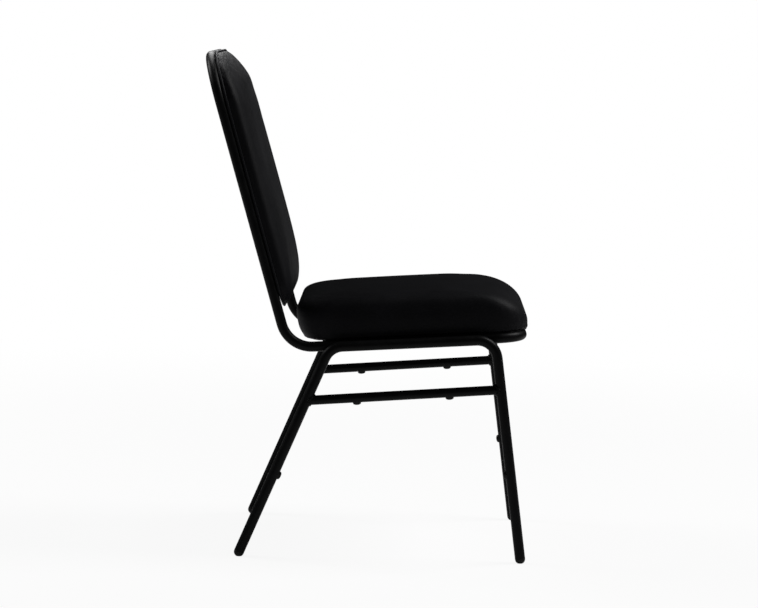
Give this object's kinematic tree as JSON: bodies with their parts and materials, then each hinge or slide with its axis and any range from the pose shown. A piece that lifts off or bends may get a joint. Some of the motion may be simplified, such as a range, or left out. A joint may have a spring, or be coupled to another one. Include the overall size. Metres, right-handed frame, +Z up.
{
  "type": "banquet chair",
  "caption": "Stacking banquet chair: bent black steel tube, thick rounded vinyl seat and a tall rounded vinyl back pad on a hoop, with side braces, stack bumpers and foot glides.",
  "frame": {"origin": "on the floor, under the middle of the chair's box", "axes": "+Z up, -Y the way the sitter faces, +X to the sitter's left"},
  "size_m": [0.439, 0.615, 0.9347],
  "materials": {
    "black_powder_coat": "satin black powder coat",
    "zinc_plated_steel": "zinc plate",
    "black_plastic": "matt moulded",
    "black_vinyl": "grained vinyl",
    "foam": "open-cell foam",
    "plywood": "raw plywood",
    "dust_cloth": "non-woven cloth"
  },
  "bodies": {
    "root": {"left_leg_frame": "black_powder_coat", "right_leg_frame": "black_powder_coat", "left_side_brace": "black_powder_coat", "right_side_brace": "black_powder_coat", "left_splice_ferrule": "black_powder_coat", "right_splice_ferrule": "black_powder_coat", "back_frame": "black_powder_coat", "seat_front_tube": "black_powder_coat", "front_seat_strap": "black_powder_coat", "rear_seat_strap": "black_powder_coat", "left_upper_back_tab": "black_powder_coat", "right_upper_back_tab": "black_powder_coat", "left_lower_back_tab": "black_powder_coat", "right_lower_back_tab": "black_powder_coat", "seat_cover": "black_vinyl", "seat_foam": "foam", "seat_board": "plywood", "seat_dust_cover": "dust_cloth", "back_cover": "black_vinyl", "back_foam": "foam", "back_board": "plywood", "back_rear_panel": "black_vinyl", "back_piping": "black_vinyl", "left_front_foot_glide": "black_plastic", "left_rear_foot_glide": "black_plastic", "right_front_foot_glide": "black_plastic", "right_rear_foot_glide": "black_plastic", "left_front_leg_bumper": "black_plastic", "left_rear_leg_bumper": "black_plastic", "right_front_leg_bumper": "black_plastic", "right_rear_leg_bumper": "black_plastic", "left_front_brace_bumper": "black_plastic", "left_rear_brace_bumper": "black_plastic", "right_front_brace_bumper": "black_plastic", "right_rear_brace_bumper": "black_plastic", "seat_left_front_screw": "zinc_plated_steel", "seat_left_front_nut": "zinc_plated_steel", "seat_left_front_washer": "zinc_plated_steel", "seat_right_front_screw": "zinc_plated_steel", "seat_right_front_nut": "zinc_plated_steel", "seat_right_front_washer": "zinc_plated_steel", "seat_left_rear_screw": "zinc_plated_steel", "seat_left_rear_nut": "zinc_plated_steel", "seat_left_rear_washer": "zinc_plated_steel", "seat_right_rear_screw": "zinc_plated_steel", "seat_right_rear_nut": "zinc_plated_steel", "seat_right_rear_washer": "zinc_plated_steel", "back_left_lower_screw": "zinc_plated_steel", "back_left_lower_nut": "zinc_plated_steel", "back_right_lower_screw": "zinc_plated_steel", "back_right_lower_nut": "zinc_plated_steel", "back_left_upper_screw": "zinc_plated_steel", "back_left_upper_nut": "zinc_plated_steel", "back_right_upper_screw": "zinc_plated_steel", "back_right_upper_nut": "zinc_plated_steel"}
  },
  "joints": []
}
